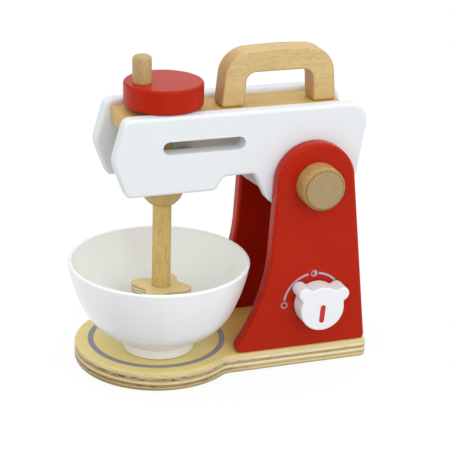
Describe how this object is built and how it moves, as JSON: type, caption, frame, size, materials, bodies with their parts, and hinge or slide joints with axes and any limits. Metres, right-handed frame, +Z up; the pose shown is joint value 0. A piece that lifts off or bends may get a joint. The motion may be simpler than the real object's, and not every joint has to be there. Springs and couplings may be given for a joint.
{
  "type": "toy mixer",
  "caption": "Wooden toy stand mixer with a tilting head, a hand crank that turns the whisk, a carrying handle, a turning dial and a loose bowl.",
  "frame": {"origin": "centre of the round end of the base, on the surface that the toy stands on", "axes": "+Z up; +X along the base from the bowl's end to the stand's end; -Y is the side with the dial"},
  "size_m": [0.2249, 0.1423, 0.2391],
  "materials": {
    "red_paint": "satin red paint over board or wood",
    "white_paint": "satin cool-white paint over board or wood",
    "beech": "clear-lacquered beech, fine grain with short dark flecks",
    "birch_plywood": "clear-lacquered birch plywood with its plies showing on the edge",
    "white_plastic": "smooth off-white moulded plastic",
    "zinc_steel": "zinc-plated steel"
  },
  "bodies": {
    "stand": {"base_board": "birch_plywood", "base_screw_1": "zinc_steel", "base_screw_2": "zinc_steel", "base_screw_3": "zinc_steel", "base_screw_4": "zinc_steel", "stand_plate_front": "red_paint", "stand_plate_rear": "red_paint", "stop_dowel": "beech", "pivot_axle": "beech", "pivot_cap_front": "beech", "pivot_cap_rear": "beech"},
    "head": {"head_plate_front": "white_paint", "head_plate_rear": "white_paint", "head_top_board": "beech", "head_lower_block": "beech", "head_dowel_1": "beech", "head_dowel_2": "beech", "head_dowel_3": "beech", "head_dowel_4": "beech", "head_dowel_5": "beech", "head_dowel_6": "beech", "head_dowel_7": "beech", "head_dowel_8": "beech", "head_dowel_9": "beech", "head_dowel_10": "beech", "carry_handle": "beech", "handle_screw_1": "zinc_steel", "handle_screw_2": "zinc_steel"},
    "crank": {"crank_disc": "red_paint", "crank_peg": "beech", "crank_washer": "beech", "whisk_shaft": "beech", "whisk_collar": "beech", "whisk_paddle": "birch_plywood"},
    "dial": {"dial_knob": "white_paint", "dial_axle": "beech", "dial_retainer": "beech"},
    "bowl": {"bowl": "white_plastic"}
  },
  "joints": [
    {"name": "head_tilt", "type": "hinge", "parent": "stand", "child": "head", "pos_m": [0.1078, 0, 0.1452], "axis": [0, 1, 0], "range_deg": [0, 45]},
    {"name": "crank_spin", "type": "hinge", "parent": "head", "child": "crank", "pos_m": [0.0033, 0, 0.1965], "axis": [0, 0, 1], "continuous": true},
    {"name": "dial_turn", "type": "hinge", "parent": "stand", "child": "dial", "pos_m": [0.1107, -0.0447, 0.0508], "axis": [0, -1, 0], "continuous": true},
    {"name": "bowl_lift", "type": "slide", "parent": "stand", "child": "bowl", "axis": [0, 0, 1], "range_m": [0, 0.018]}
  ]
}
